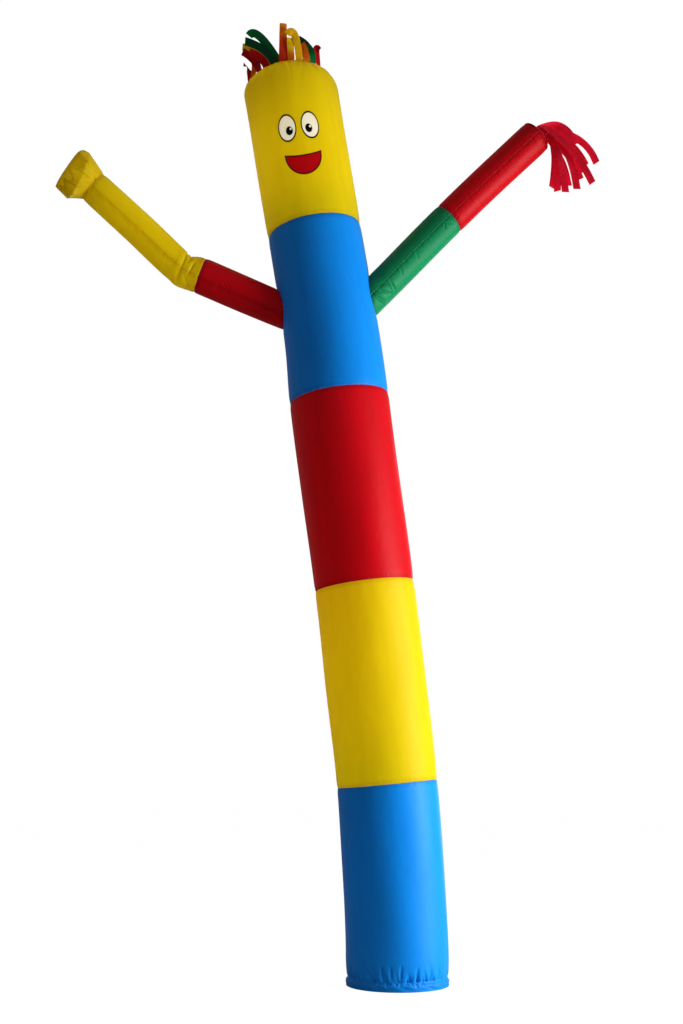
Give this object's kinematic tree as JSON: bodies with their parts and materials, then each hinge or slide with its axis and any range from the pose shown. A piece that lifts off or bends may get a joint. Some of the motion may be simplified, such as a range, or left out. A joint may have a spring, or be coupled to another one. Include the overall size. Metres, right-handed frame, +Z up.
{
  "type": "inflatable air dancer",
  "caption": "Inflatable air dancer: a tall tube of coloured satin panels, blown up and leaning, with two sleeves, an open cuff, a ribbon hand and ribbon hair.",
  "frame": {"origin": "centre of the tube's base ring, on the floor, where the blower's outlet ring holds it", "axes": "+Z up, +X towards the straight arm with the ribbon hand, -Y towards the side with the printed face"},
  "size_m": [1.6975, 0.4385, 2.9502],
  "materials": {
    "blue_satin": "satin-weave nylon, softly glossy",
    "yellow_satin": "satin-weave nylon, softly glossy",
    "red_satin": "satin-weave nylon, softly glossy",
    "green_satin": "satin-weave nylon, softly glossy",
    "dark_green_satin": "satin-weave nylon, softly glossy",
    "orange_satin": "satin-weave nylon, softly glossy"
  },
  "bodies": {
    "root": {"base_panel": "blue_satin", "blue_panel": "blue_satin", "head_panel": "yellow_satin", "head_ribbon_01_red": "red_satin", "head_ribbon_02_orange": "orange_satin", "head_ribbon_03_red": "red_satin", "head_ribbon_04_red": "red_satin", "head_ribbon_05_orange": "orange_satin", "head_ribbon_06_dark_green": "dark_green_satin", "head_ribbon_07_green": "green_satin", "head_ribbon_08_red": "red_satin", "head_ribbon_09_orange": "orange_satin", "head_ribbon_10_yellow": "yellow_satin", "head_ribbon_11_yellow": "yellow_satin", "head_ribbon_12_orange": "orange_satin", "head_ribbon_13_green": "green_satin", "head_ribbon_14_dark_green": "dark_green_satin", "head_ribbon_15_red": "red_satin", "head_ribbon_16_green": "green_satin", "head_ribbon_17_yellow": "yellow_satin", "head_ribbon_18_red": "red_satin", "head_ribbon_19_orange": "orange_satin", "head_ribbon_20_dark_green": "dark_green_satin", "head_ribbon_21_red": "red_satin", "head_ribbon_22_green": "green_satin", "head_ribbon_23_yellow": "yellow_satin", "head_top": "yellow_satin", "left_cuff": "yellow_satin", "left_forearm_sleeve": "yellow_satin", "left_upper_sleeve": "red_satin", "red_panel": "red_satin", "right_forearm_sleeve": "red_satin", "right_hand_end": "red_satin", "right_hand_fringe": "red_satin", "right_upper_sleeve": "green_satin", "yellow_panel": "yellow_satin"}
  },
  "joints": []
}
